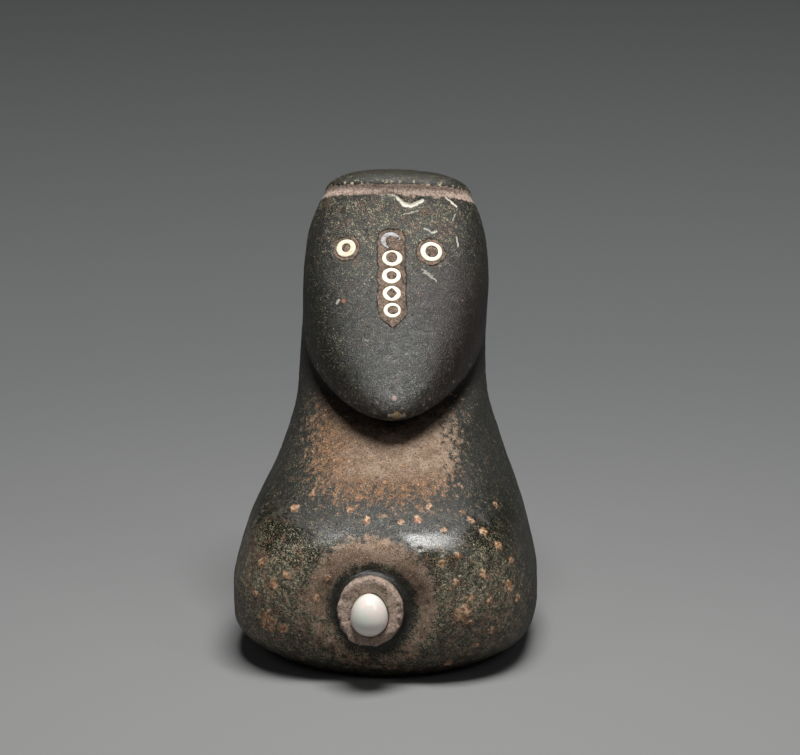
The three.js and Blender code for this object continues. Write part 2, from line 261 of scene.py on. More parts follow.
def loft_mesh():
    """The blank's points, triangles and quads, with each point's place and turn."""
    rows, places = loft_rows()
    points, turns = ring_points(rows)
    count = len(places)
    index = np.arange(count * COLUMNS).reshape(count, COLUMNS)
    right = np.roll(index, -1, axis=1)
    quads = np.stack([index[:-1], right[:-1], right[1:], index[1:]], axis=2).reshape(-1, 4)
    top, foot = len(points), len(points) + 1
    fans = [(top, b, a) for a, b in zip(index[0], right[0])]
    fans += [(foot, a, b) for a, b in zip(index[-1], right[-1])]
    points = np.vstack([points, points[index[0]].mean(axis=0), points[index[-1]].mean(axis=0)])
    turns = np.append(turns, [0.25, 0.25])
    place_of = np.append(np.repeat(places, COLUMNS), [places[0], places[-1]])
    return points, np.array(fans), quads, place_of, turns


# Fields: arrays of distances to a surface, below 0 inside it

class Field:
    """Distances on a regular grid, in mm."""

    def __init__(self, origin, voxel, values):
        self.origin = np.array(origin, float)
        self.voxel = voxel
        self.values = values

    def points(self, low, high):
        """The part of the grid inside a box: its slices and its points."""
        first = np.maximum(np.floor((np.array(low) - self.origin) / self.voxel).astype(int), 0)
        last = np.ceil((np.array(high) - self.origin) / self.voxel).astype(int) + 1
        last = np.minimum(last, self.values.shape)
        axes = [self.origin[k] + self.voxel * np.arange(first[k], last[k]) for k in range(3)]
        grid = np.stack(np.meshgrid(*axes, indexing="ij"), axis=-1)
        return tuple(slice(a, b) for a, b in zip(first, last)), grid

    def at(self, points):
        """The distance at any points, straight between the grid's own."""
        place = (points - self.origin) / self.voxel
        place = np.clip(place, 0, np.array(self.values.shape) - 1.001)
        low = place.astype(int)
        share = place - low
        total = np.zeros(len(points))
        for corner in np.ndindex(2, 2, 2):
            weight = np.prod(np.where(corner, share, 1 - share), axis=1)
            index = low + corner
            total += weight * self.values[index[:, 0], index[:, 1], index[:, 2]]
        return total

    def soften(self, times):
        """Rounds every edge a little."""
        for _ in range(times):
            for axis in range(3):
                padded = np.pad(self.values, [(1, 1) if k == axis else (0, 0) for k in range(3)], mode="edge")
                parts = [np.take(padded, range(k, k + self.values.shape[axis]), axis=axis) for k in range(3)]
                self.values = (parts[0] + 2 * parts[1] + parts[2]) / 4

    def mesh(self):
        """Points and quads of the surface."""
        grid = openvdb.FloatGrid(float(self.values.max()))
        grid.copyFromArray(np.ascontiguousarray(self.values, np.float32))
        points, quads = grid.convertToQuads(0)
        return points * self.voxel + self.origin, quads


def blank_field(points, triangles, quads):
    low = points.min(axis=0) - MARGIN
    high = points.max(axis=0) + MARGIN
    low[1] -= 5
    shape = np.ceil((high - low) / VOXEL).astype(int)
    transform = openvdb.createLinearTransform(1.0)
    grid = openvdb.FloatGrid.createLevelSetFromPolygons(
        ((points - low) / VOXEL).astype(np.float32),
        triangles=triangles.astype(np.uint32),
        quads=quads.astype(np.uint32),
        transform=transform,
        halfWidth=BAND,
    )
    values = np.zeros(shape, np.float32)
    grid.copyToArray(values)
    return Field(low, VOXEL, values * VOXEL)


def corners_of(node):
    """A CAD node's corners, in mm."""
    return np.array([v.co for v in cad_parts[node].data.vertices]) / MM


class Seat:
    """A frame on the stone: across it, up it and out of it."""

    def __init__(self, origin, out, up):
        self.origin = np.array(origin, float)
        self.out = out / np.linalg.norm(out)
        across = np.cross(up, self.out)
        self.across = across / np.linalg.norm(across)
        self.up = np.cross(self.out, self.across)

    def local(self, points):
        away = points - self.origin
        return away @ self.across, away @ self.up, away @ self.out

    def place(self, across, up, out):
        return (
            self.origin
            + np.multiply.outer(across, self.across)
            + np.multiply.outer(up, self.up)
            + np.multiply.outer(out, self.out)
        )


def ring_seat(node):
    """The seat of a bead from its CAD solid: it is thinnest along its own axis."""
    corners = corners_of(node)
    middle = corners.mean(axis=0)
    axes = np.linalg.svd(corners - middle, full_matrices=False)[2]
    out = axes[2] if axes[2][1] < 0 else -axes[2]
    seat = Seat(middle, out, np.array([0, 0, 1.0]))
    across, up, lift = seat.local(corners)
    seat.origin = seat.place(0, 0, lift.max())
    seat.wide = across.max() - across.min()
    seat.high = up.max() - up.min()
    seat.thick = lift.max() - lift.min()
    return seat


BILL_BEADS = [f"bill_bead_{k}" for k in range(1, 6)]
SEATS = {name: ring_seat(name) for name in ["eye_bead_left", "eye_bead_right", *BILL_BEADS]}


def channel_seat():
    """The seat of the bed down the bill, with its outline in its own frame."""
    out = sum(SEATS[name].out for name in BILL_BEADS)
    up = SEATS["bill_bead_1"].origin - SEATS["bill_bead_5"].origin
    seat = Seat(SEATS["bill_bead_3"].origin, out, up)
    across, up, _ = seat.local(corners_of("bill_channel_mastic"))
    seat.middle = (across.max() + across.min()) / 2
    seat.half = (across.max() - across.min()) / 2 - 0.15
    seat.top = up.max() + 0.3
    seat.point = up.min() - 0.4
    return seat


CHANNEL_SEAT = channel_seat()


def pearl_middle():
    """The middle of the pearl's widest ring."""
    low, high = (np.array(corner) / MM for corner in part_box("pearl"))
    return np.array([(low[0] + high[0]) / 2, (low[1] + high[1]) / 2, low[2] + PEARL["below"]])


def belly_axes(tip):
    """The ways up and out of a seat on the belly that is tipped up from straight ahead."""
    lie = Euler((math.radians(90 - tip), 0, math.radians(-BOSS["turn"])), "XYZ").to_matrix()
    return np.array(lie.col[1]), np.array(lie.col[2])


def belly_seat(tip):
    """A seat on the belly behind the pearl, tipped up from straight ahead."""
    drum_up, drum_out = belly_axes(BOSS["tip"])
    origin = pearl_middle() + drum_up * CUP["drop"] * BOSS["tall"] - drum_out * (BOSS["height"] - CUP["sunk"])
    up, out = belly_axes(tip)
    return Seat(origin, out, up)


BOSS_SEAT = belly_seat(BOSS["tip"])
MOAT_SEAT = belly_seat(MOAT["tip"])


def round_boss(points, seat):
    """Distance from the seat's axis and height along it, and the turn round it."""
    across, up, lift = seat.local(points)
    up = up / BOSS["tall"]
    return np.hypot(across, up), lift, np.arctan2(up, across)


def moat_profile(radius, turn):
    """The floor of the hollow, shallower above the boss, and its sides."""
    share = fade(radius, MOAT["floor"], MOAT["outer"])
    depth = MOAT["depth"] * (1 - 0.35 * fade(np.sin(turn), 0, 0.9) + 0.2 * fade(np.cos(turn), 0, 0.9))
    inside = -depth + (depth - MOAT["rim"]) * share
    return inside + 0.9 * np.maximum(radius - MOAT["outer"], 0)


def pearl_distance(points):
    """Distance to the egg shape of the pearl."""
    away = points - pearl_middle()
    reach = np.where(away[:, 2] > 0, PEARL["above"], PEARL["below"])
    up = PEARL["radius"] / reach * away[:, 2]
    length = np.sqrt(away[:, 0] ** 2 + away[:, 1] ** 2 + up**2) + 1e-9
    share = 1 - np.arccos(np.clip(up / length, -1, 1)) / np.pi
    narrow = 1 - PEARL["narrow"] * share**2
    return np.sqrt((away[:, 0] ** 2 + away[:, 1] ** 2) / narrow**2 + up**2) - PEARL["radius"]


def carve_boss(field):
    reach = MOAT["outer"] + 6
    corner = np.array([reach, 12, reach])
    part, grid = field.points(BOSS_SEAT.origin - corner, BOSS_SEAT.origin + corner)
    points = grid.reshape(-1, 3)
    radius, lift, turn = round_boss(points, MOAT_SEAT)
    blank = field.values[part].ravel()
    carved = smooth_max(blank, (lift - moat_profile(radius, turn)) * 0.85, MOAT["blend"])
    radius, lift, turn = round_boss(points, BOSS_SEAT)
    rise = np.clip((lift + MOAT["depth"]) / (BOSS["height"] + MOAT["depth"]), 0, 1)
    wide = BOSS["root"] + (BOSS["face"] - BOSS["root"]) * rise
    crumbs = noise(points, CRUMBLE["size"], 1, 2)
    rim = fade(lift, -1.5, 2) * fade(radius, BOSS["face"] - 2.4, BOSS["face"] - 0.3)
    side = radius - wide + 0.2 + rim * CRUMBLE["rim"] * crumbs
    dish = CUP["dish"] * (1 - fade(radius, PEARL["radius"], CUP["mouth"] + 0.4))
    top = lift - BOSS["height"] + dish + CRUMBLE["face"] * (crumbs + 0.5) + rim * 0.35 * (crumbs + 0.5)
    drum = smooth_max(side, top, BOSS["edge"])
    carved = smooth_min(carved, drum, 1.2)
    carved = smooth_max(carved, -pearl_distance(points) + PEARL_GAP, 0.15)
    field.values[part] = carved.reshape(grid.shape[:3])


def eye_pocket(seat, points, inset):
    """Distance to the round pocket under an eye bead."""
    across, up, lift = seat.local(points)
    wobble = BED["wobble"] * noise(points, 1.8, 2, 2)
    radius = np.hypot(across, up) - seat.wide / 2 - EYE_MARGIN + inset + wobble
    return np.maximum(radius, -lift - BED["depth"] + inset)


def channel_pocket(points, inset):
    """Distance to the channel down the bill, round at the top and pointed at the foot."""
    seat = CHANNEL_SEAT
    across, up, lift = seat.local(points)
    side = np.abs(across - seat.middle)
    shoulder = seat.top - seat.half
    straight = side - seat.half
    run = BED["shoulder"]
    wedge = ((side - seat.half) * run + (seat.point + run - up) * seat.half) / math.hypot(run, seat.half)
    lower = smooth_max(straight, wedge, 0.8)
    outline = np.where(up > shoulder, np.hypot(side, up - shoulder) - seat.half, lower)
    wobble = BED["wobble"] * noise(points, 1.8, 2, 2)
    return np.maximum(outline + inset + wobble, -lift - BED["depth"] + inset)


def carve_pockets(field):
    for name in ("eye_bead_left", "eye_bead_right"):
        seat = SEATS[name]
        part, grid = field.points(seat.origin - 6, seat.origin + 6)
        points = grid.reshape(-1, 3)
        carved = smooth_max(field.values[part].ravel(), -eye_pocket(seat, points, 0), 0.2)
        field.values[part] = carved.reshape(grid.shape[:3])
    seat = CHANNEL_SEAT
    part, grid = field.points(seat.origin - 17, seat.origin + 17)
    points = grid.reshape(-1, 3)
    carved = smooth_max(field.values[part].ravel(), -channel_pocket(points, 0), 0.2)
    field.values[part] = carved.reshape(grid.shape[:3])


# Meshes

def new_mesh(name, points, faces):
    """A smooth piece from points in mm."""
    mesh = bpy.data.meshes.new(name)
    mesh.from_pydata((points * MM).tolist(), [], faces.tolist() if hasattr(faces, "tolist") else faces)
    mesh.shade_smooth()
    piece = bpy.data.objects.new(name, mesh)
    bpy.context.scene.collection.objects.link(piece)
    return piece


def points_of(piece):
    values = np.zeros(len(piece.data.vertices) * 3, np.float32)
    piece.data.vertices.foreach_get("co", values)
    return values.reshape(-1, 3).astype(float) / MM


def normals_of(piece):
    values = np.zeros(len(piece.data.vertices) * 3, np.float32)
    piece.data.vertex_normals.foreach_get("vector", values)
    return values.reshape(-1, 3).astype(float)


def move_points(piece, points):
    piece.data.vertices.foreach_set("co", (points * MM).astype(np.float32).ravel())
    piece.data.update()


def keep_value(piece, name, values):
    """A number at each point, for the materials."""
    attribute = piece.data.attributes.new(name, "FLOAT", "POINT")
    attribute.data.foreach_set("value", np.asarray(values, np.float32))


def apply_modifiers(piece):
    graph = bpy.context.evaluated_depsgraph_get()
    mesh = bpy.data.meshes.new_from_object(piece.evaluated_get(graph))
    mesh.name = piece.name
    piece.modifiers.clear()
    piece.data = mesh


def nearest_values(points, samples, *values):
    """For each point, the values of the nearest sample."""
    tree = kdtree.KDTree(len(samples))
    for index, sample in enumerate(samples):
        tree.insert(sample, index)
    tree.balance()
    index = np.array([tree.find(point)[1] for point in points])
    return [value[index] for value in values]


def inside_box(points):
    low, high = (np.array(corner) / MM for corner in cad_box)
    return np.clip(points, low, high)


# The gouge in the forehead, which is cut into the stone, by x and z
GOUGE = {"line": [(-1.3, 98.8), (1.6, 98.9), (2.7, 98.3), (4.1, 97), (5.7, 96.6), (7, 97), (8.4, 97.7)],
         "wide": 0.8, "deep": 0.3}

# Raised pinkish crusts on the body, by x and z, with their reach
CRUSTS = [
    (-26, 13.3, 2.6), (-22.5, 12.2, 1.5), (17.5, 16.9, 2.3), (27.6, 21.4, 1.6), (-12.6, 24.6, 0.9),
    (13, 34.5, 0.8), (-4, 36.2, 1.1), (3.5, 36, 0.8), (7, 36.4, 1.1), (-20, 36.8, 1.1),
    (22, 33, 1.2), (19, 35.5, 1), (25, 30, 1.2), (-27.5, 26, 1.1), (-24.5, 22, 1.4),
    (29.5, 17, 1), (14, 4, 1.2), (21.5, 25, 1.2), (16, 30, 0.9), (-16, 40, 0.9),
    (-22, 24.5, 1.1), (23.5, 12, 1.2), (28, 26, 1), (-8, 38, 1), (-15, 20, 1.2),
    (9.5, 38.5, 0.9), (24.5, 36.5, 1), (19, 21, 1), (12.5, 29, 0.8), (23, 19, 0.9),
    (15.5, 24, 0.8), (20, 9, 0.9), (-29, 19, 0.9), (17, 36.8, 0.7),
]


def distance_to_line(x, z, line):
    best = np.full(len(x), FAR)
    for (x0, z0), (x1, z1) in zip(line, line[1:]):
        share = ((x - x0) * (x1 - x0) + (z - z0) * (z1 - z0)) / ((x1 - x0) ** 2 + (z1 - z0) ** 2)
        share = np.clip(share, 0, 1)
        best = np.minimum(best, np.hypot(x - x0 - share * (x1 - x0), z - z0 - share * (z1 - z0)))
    return best


def gouge_depth(points, normals):
    away = distance_to_line(points[:, 0], points[:, 2], GOUGE["line"])
    return GOUGE["deep"] * fade(away, GOUGE["wide"] * 0.8, GOUGE["wide"] * 0.2) * (normals[:, 1] < 0)


def crust_strength(points, normals):
    strength = np.zeros(len(points))
    ragged = noise(points, 1.0, 4, 3)
    hidden = FAR * (normals[:, 1] > -0.1)
    for x, z, reach in CRUSTS:
        middle = points[np.argmin(np.hypot(points[:, 0] - x, points[:, 2] - z) + hidden)]
        away = np.linalg.norm(points - middle, axis=1) / reach
        strength = np.maximum(strength, fade(away + 0.8 * ragged, 1.05, 0.6))
    return strength


def body_finish(points, normals, place, turn):
    """What the stone's material reads at each point."""
    x, y, z = points.T
    facing = fade(np.sin(2 * np.pi * turn), 0.1, 0.8)
    wash, shine, fleck = (
        np.interp(place, range(len(RINGS)), [ring[key] for ring in RINGS])
        for key in ("wash", "shine", "fleck")
    )
    head = fade(place, PLACE["bill tip"] + 0.6, PLACE["bill tip"] - 0.3)
    chest = fade(place, PLACE["underside"], PLACE["throat"])
    chest = chest * fade(place, PLACE["ridge"], PLACE["ledge"] - 0.3)

    # The chest is pale in the middle only, rusty to its left and along its foot, and dark to its right.
    middle = np.where(chest > 0, fade(x, -26, -8) * fade(x, 21, 9), 1)
    wash = np.where(head > 0.5, wash, 0.1 + (wash - 0.1) * facing * middle)
    low_chest = fade(place, PLACE["chest"] - 0.1, PLACE["chest"] + 0.4)
    low_chest = low_chest * fade(place, PLACE["ledge"], PLACE["chest"] + 0.7)
    rust = chest * np.maximum(fade(x, -3, -14) * 0.8, low_chest * 0.8) * fade(x, 24, 8) * facing
    # Painted shade: the throat and upper chest under the bill are darkened where the bill's shadow falls.
    under_bill_shade = fade(place, PLACE["bill tip"] + 0.3, PLACE["underside"] + 0.3)
    under_bill_shade = under_bill_shade * fade(place, PLACE["upper chest"] + 0.25, PLACE["throat"] + 0.1)

    radius, _, around = round_boss(points, MOAT_SEAT)
    near = (y < 0) * fade(radius, 18, 15)
    ring = near * fade(radius, 8.6, 11) * fade(radius, 17, 12.5)
    ring = ring * (0.6 + 0.4 * fade(np.sin(around), -0.6, 0.4))
    wash = np.maximum(wash, 0.85 * ring)
    radius, lift, around = round_boss(points, BOSS_SEAT)
    boss = (y < 0) * fade(radius, BOSS["face"] + 0.9, BOSS["face"] + 0.3) * fade(lift, -0.6, 0.8)
    # A dark ring hugging the boss's foot, partly dark stone and partly painted shade: it widens to the lower
    # right, where the boss's shadow falls in the hollow.
    broad = 1.6 + 2.2 * fade(np.cos(around + 0.6), -0.2, 0.9) + 1.2 * noise(points, 2.5, 14, 2)
    ditch_stain_and_shade = (y < 0) * fade(radius, BOSS["face"] + 1 + broad, BOSS["face"] + 0.5) * (1 - boss)
    wash = np.maximum(wash * (1 - 0.8 * ditch_stain_and_shade), boss)

    groove = fade(place, 0.0, 0.12) * fade(place, 1.02, 0.9)
    wash = np.maximum(wash, groove)
    lip = fade(np.abs(place + 0.03), 0.12, 0.03) * fade(turn, 0, 0.08) * fade(turn, 0.5, 0.42)
    shine = shine * (1 - groove) * (1 - boss) * (1 - 0.8 * ring) * (0.5 + 0.5 * facing)
    plum = head * np.maximum(fade(x, 4, 14) * fade(place, 2.6, 4), 0.7 * fade(place, 5, 6.2))
    flank = 1 - fade(np.abs(x - 2), 21, 11)
    fleck = fleck * np.where(head > 0.5, 1 - 0.75 * flank * fade(place, 1, 2.5), 0.45 + 0.55 * facing)
    fleck = fleck * (1 - 0.3 * ditch_stain_and_shade)
    return dict(wash=wash, shine=shine, plum=np.clip(plum, 0, 1), fleck=fleck, ditch_stain_and_shade=ditch_stain_and_shade, boss=boss,
                groove=groove, rust=rust, under_bill_shade=under_bill_shade, lip=lip)


def stone_relief(points, normals, finish):
    """How far the hand-worked surface stands off the true form."""
    height = 0.16 * noise(points, 9, 5, 2) + 0.05 * noise(points, 3, 6, 2) - 0.12
    rough = 1 - finish["shine"]
    height += 0.08 * rough * noise(points, 1.1, 7, 2)
    height += 0.2 * crust_strength(points, normals) * (1 + 0.6 * noise(points, 0.9, 8, 2))
    height -= gouge_depth(points, normals)
    pits = noise(points, 1.5, 9) + 0.35 * noise(points, 5, 10)
    height -= 0.2 * fade(pits, 0.72, 1.05) * (1 - finish["groove"])
    nearest = np.min([np.linalg.norm(points - seat.origin, axis=1) for seat in SEATS.values()], axis=0)
    return height * fade(nearest, 2.5, 5)


def stone_piece(field, loft):
    points, faces = field.mesh()
    piece = new_mesh("carved_stone", points, faces)
    loft_points, _, _, place_of, turns = loft
    points = points_of(piece)
    normals = normals_of(piece)
    place, turn = nearest_values(points, loft_points, place_of, turns)
    finish = body_finish(points, normals, place, turn)
    move_points(piece, inside_box(points + normals * stone_relief(points, normals, finish)[:, None]))
    decimate = piece.modifiers.new("fewer_faces", "DECIMATE")
    decimate.ratio = STONE_TRIANGLES / (2 * len(faces))
    apply_modifiers(piece)
    piece.data.shade_smooth()
    points = points_of(piece)
    normals = normals_of(piece)
    place, turn = nearest_values(points, loft_points, place_of, turns)
    finish = body_finish(points, normals, place, turn)
    for name, values in finish.items():
        keep_value(piece, name, values)
    keep_value(piece, "crust", crust_strength(points, normals))
    keep_value(piece, "front", normals[:, 1] < 0)
    return piece


# Materials

class Shader:
    """A node material, built by small calls that take numbers or other nodes' sockets."""

    def __init__(self, name):
        self.material = bpy.data.materials.new(name)
        self.material.use_nodes = True
        self.tree = self.material.node_tree
        self.tree.nodes.clear()
        self.output = self.tree.nodes.new("ShaderNodeOutputMaterial")

    def node(self, kind, values=(), **settings):
        made = self.tree.nodes.new(kind)
        for key, value in settings.items():
            setattr(made, key, value)
        for key, value in dict(values).items():
            socket = made.inputs[key]
            if isinstance(value, bpy.types.NodeSocket):
                self.tree.links.new(value, socket)
            elif isinstance(value, tuple) and socket.type == "RGBA" and len(value) == 3:
                socket.default_value = (*value, 1)
            else:
                socket.default_value = value
        return made

    def coordinates(self):
        """Object coordinates in mm."""
        source = self.node("ShaderNodeTexCoord").outputs["Object"]
        return self.node("ShaderNodeVectorMath", {0: source, "Scale": 1 / MM}, operation="SCALE").outputs[0]

    def value(self, name):
        return self.node("ShaderNodeAttribute", attribute_name=name).outputs["Fac"]

    def noise(self, vector, size, detail=2.0, roughness=0.5, distortion=0.0):
        values = {"Vector": vector, "Scale": 1 / size, "Detail": detail, "Roughness": roughness}
        return self.node("ShaderNodeTexNoise", {**values, "Distortion": distortion}).outputs[0]

    def bend(self, vector, size, reach):
        """The coordinates pushed about by slow noise, so that what is drawn in them curves."""
        slow = {"Vector": vector, "Scale": 1 / size, "Detail": 2.0}
        push = self.node("ShaderNodeTexNoise", slow).outputs[1]
        half = (0.5, 0.5, 0.5)
        push = self.node("ShaderNodeVectorMath", {0: push, 1: half}, operation="SUBTRACT").outputs[0]
        push = self.node("ShaderNodeVectorMath", {0: push, "Scale": reach}, operation="SCALE").outputs[0]
        return self.node("ShaderNodeVectorMath", {0: vector, 1: push}, operation="ADD").outputs[0]

    def math(self, operation, *values):
        return self.node("ShaderNodeMath", dict(enumerate(values)), operation=operation).outputs[0]

    def ease(self, value, low, high, bottom=0.0, top=1.0):
        """bottom where the value is low, top where it is high, and smooth between."""
        values = {"Value": value, "From Min": low, "From Max": high, "To Min": bottom, "To Max": top}
        return self.node("ShaderNodeMapRange", values, interpolation_type="SMOOTHSTEP").outputs[0]

    def mix(self, share, a, b):
        """A colour between two."""
        return self.node("ShaderNodeMix", {0: share, 6: a, 7: b}, data_type="RGBA").outputs[2]

    def stretched(self, vector, turn, long, thin):
        """Coordinates in which a round blob is a needle of that length and width."""
        spun = self.node("ShaderNodeMapping", {"Vector": vector, "Rotation": turn})
        scale = (1 / long, 1 / thin, 1 / thin)
        return self.node("ShaderNodeMapping", {"Vector": spun.outputs[0], "Scale": scale}).outputs[0]

    def stroke(self, flat, start, end, wide):
        """1 on a straight line between two points given by x and z, and 0 away from it."""
        along = Vector((end[0] - start[0], 0, end[1] - start[1]))
        origin = (start[0], 0, start[1])
        away = self.node("ShaderNodeVectorMath", {0: flat, 1: origin}, operation="SUBTRACT").outputs[0]
        scaled = along / along.length_squared
        share = self.node("ShaderNodeVectorMath", {0: away, 1: scaled}, operation="DOT_PRODUCT")
        share = self.node("ShaderNodeClamp", {"Value": share.outputs["Value"]}).outputs[0]
        foot = self.node("ShaderNodeVectorMath", {0: along, "Scale": share}, operation="SCALE").outputs[0]
        away = self.node("ShaderNodeVectorMath", {0: away, 1: foot}, operation="DISTANCE").outputs["Value"]
        return self.ease(away, wide, wide * 0.45)

    def finish(self, **values):
        """Ends in a principled shader. Spaces in its sockets' names are written as underscores."""
        sockets = {key.replace("_", " "): value for key, value in values.items()}
        shader = self.node("ShaderNodeBsdfPrincipled", sockets)
        self.tree.links.new(shader.outputs[0], self.output.inputs["Surface"])
        return self.material


def srgb(red, green, blue):
    """A colour given as it looks on screen, from 0 to 255."""
    shares = (c / 255 for c in (red, green, blue))
    return tuple(c / 12.92 if c <= 0.04 else ((c + 0.055) / 1.055) ** 2.4 for c in shares)


NEEDLE_TURNS = [(0.3, 0.2, 0.5), (0.9, 1.3, 2.1), (2.2, 0.6, 1.2), (1.1, 2.4, 0.2), (0.2, 2.0, 2.6)]


def needles(shader, vector, long, thin, level):
    """A felt of fine needles lying every way; level is the noise that each has to pass."""
    total = None
    for turn in NEEDLE_TURNS:
        blob = shader.noise(shader.stretched(vector, turn, long, thin), 1, 1)
        one = shader.math("SUBTRACT", blob, level)
        total = one if total is None else shader.math("MAXIMUM", total, one)
    return shader.ease(total, 0.0, 0.05)


# Scratches, chips and spots on the front, as lines from x, z to x, z with half a width and a strength
STROKES = [
    ((-1.3, 98.9), (1.6, 98.9), 0.25, 0.6),
    ((1.6, 98.9), (2.7, 98.3), 0.35, 0.8),
    ((2.7, 98.3), (4.1, 96.9), 0.5, 0.9),
    ((4.1, 96.9), (5.7, 96.6), 0.62, 1),
    ((5.7, 96.6), (7, 97), 0.6, 1),
    ((7, 97), (8.4, 97.6), 0.5, 1),
    ((13.6, 97.9), (14.7, 97), 0.16, 0.9),
    ((14.7, 97), (16.1, 95.8), 0.26, 1),
    ((4, 94.8), (7.3, 95.5), 0.2, 0.4),
    ((8.6, 91.9), (9.5, 91.7), 0.22, 0.6),
    ((9.5, 91.7), (10.4, 91), 0.2, 0.5),
    ((10.4, 91), (11.4, 91.2), 0.28, 0.7),
    ((16, 89.7), (16.4, 88), 0.2, 0.7),
    ((8.1, 84.2), (10.6, 82.7), 0.2, 0.3),
    ((8.7, 83.5), (11.4, 81.8), 0.26, 0.45),
    ((-11, 77.3), (-10.4, 78), 0.3, 0.5),
    ((15.7, 94.3), (15.2, 93.2), 0.18, 0.6),
    ((0.9, 57.1), (4.2, 56.9), 0.55, 0.5),
]
SPOTS = [
    # x and z, half a width, a strength and a colour
    ((2.5, 57), 1.2, 0.6, (176, 140, 84)),
    ((2, 60.7), 0.7, 0.5, (196, 164, 152)),
    ((-2.7, 62.4), 0.9, 0.9, (20, 14, 12)),
    ((-9.4, 78), 0.6, 0.7, (150, 96, 58)),
]


def marked(s, at, colour):
    """The colour with the scratches, chips and spots of the front over it."""
    bent = s.bend(s.bend(at, 0.7, 0.5), 0.25, 0.35)
    bent = s.node("ShaderNodeVectorMath", {0: bent, 1: (1, 0, 1)}, operation="MULTIPLY").outputs[0]
    total = None
    for start, end, wide, strength in STROKES:
        one = s.math("MULTIPLY", s.stroke(bent, start, end, wide), strength)
        total = one if total is None else s.math("MAXIMUM", total, one)
    broken = s.ease(s.noise(at, 0.3, 3, 0.7), 0.4, 0.5, 0.35, 1.0)
    broken = s.math("MAXIMUM", broken, s.ease(total, 0.6, 0.9))
    share = s.math("MULTIPLY", s.math("MULTIPLY", total, broken), s.value("front"))
    colour = s.mix(share, colour, srgb(226, 220, 202))
    for place, wide, strength, tone in SPOTS:
        middle = (place[0], 0, place[1])
        away = s.node("ShaderNodeVectorMath", {0: bent, 1: middle}, operation="DISTANCE").outputs["Value"]
        share = s.math("MULTIPLY", s.ease(away, wide, wide * 0.5, 0.0, strength), s.value("front"))
        colour = s.mix(share, colour, srgb(*tone))
    return colour


def dark_stone(s, at, felt):
    """Near-black green stone under a felt of cream and olive needles."""
    ground = s.mix(s.ease(s.noise(at, 0.4, 3, 0.6), 0.4, 0.62), srgb(8, 10, 8), srgb(38, 38, 28))
    pale = s.mix(s.ease(s.noise(at, 0.6, 2), 0.42, 0.58), srgb(104, 106, 78), srgb(200, 186, 152))
    warm = s.mix(s.ease(s.noise(at, 2.0, 3), 0.5, 0.62), pale, srgb(168, 132, 104))
    stone = s.mix(felt, ground, warm)
    return s.mix(s.math("MULTIPLY", s.value("plum"), 0.6), stone, srgb(34, 22, 21))


def worn_skin(s, at, bent):
    """The pinkish-brown skin of the hollows, with dark and pale grain, rusty in places."""
    skin = s.mix(s.ease(s.noise(at, 2.2, 4, 0.7), 0.35, 0.65), srgb(126, 100, 80), srgb(164, 140, 120))
    rust = s.mix(s.ease(s.noise(at, 1.3, 4, 0.7), 0.42, 0.6), srgb(82, 54, 32), srgb(150, 104, 62))
    skin = s.mix(s.value("rust"), skin, rust)
    dark = needles(s, bent, 0.5, 0.16, s.ease(s.value("rust"), 0.0, 1.0, 0.64, 0.61))
    skin = s.mix(s.math("MULTIPLY", dark, 0.85), skin, srgb(26, 24, 16))
    light = s.ease(s.noise(s.stretched(bent, (0.2, 1.1, 0.4), 0.6, 0.16), 1, 1), 0.6, 0.66)
    return s.mix(s.math("MULTIPLY", light, 0.6), skin, srgb(206, 186, 160))


